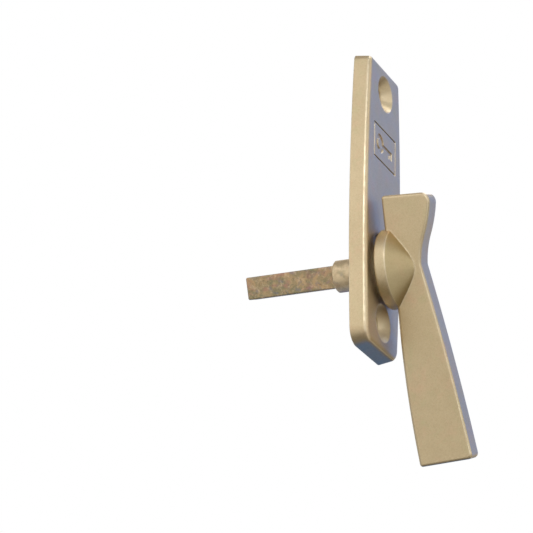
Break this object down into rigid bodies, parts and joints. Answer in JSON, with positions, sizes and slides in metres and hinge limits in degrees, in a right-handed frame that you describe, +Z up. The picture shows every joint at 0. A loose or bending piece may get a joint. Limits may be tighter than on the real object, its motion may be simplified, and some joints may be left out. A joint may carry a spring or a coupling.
{
  "type": "window sash lock",
  "caption": "Window sash lock: barrel-sided cast plate with countersunk screw holes and a bow-tie lever handle that turns a square spindle.",
  "frame": {"origin": "on the spindle axis, in the mounting plane at the back of the plate", "axes": "+X to the right seen from the room, +Z up the plate, -Y out of the front face into the room; the spindle runs to +Y"},
  "size_m": [0.035, 0.0568, 0.1089],
  "materials": {
    "champagne_coat": "satin metallic champagne coating on zinc casting",
    "lever_coat": "satin metallic champagne coating on zinc casting",
    "plated_steel": "dull yellow zinc plating, mottled",
    "bush_plastic": "moulded, natural colour",
    "washer_steel": "bright zinc plated",
    "spring_steel": "oil-blackened spring steel"
  },
  "bodies": {
    "plate": {"escutcheon_plate": "champagne_coat", "pivot_bush": "bush_plastic", "thrust_washer": "washer_steel", "spring_washer": "spring_steel"},
    "lever": {"lever_handle": "lever_coat", "spindle": "plated_steel", "retaining_ring": "spring_steel", "cross_pin": "spring_steel", "stop_pin": "washer_steel"}
  },
  "joints": [
    {"name": "lever_swing", "type": "hinge", "parent": "plate", "child": "lever", "pos_m": [0, 0, 0], "axis": [0, -1, 0], "range_deg": [-21.5, 68.5]}
  ]
}
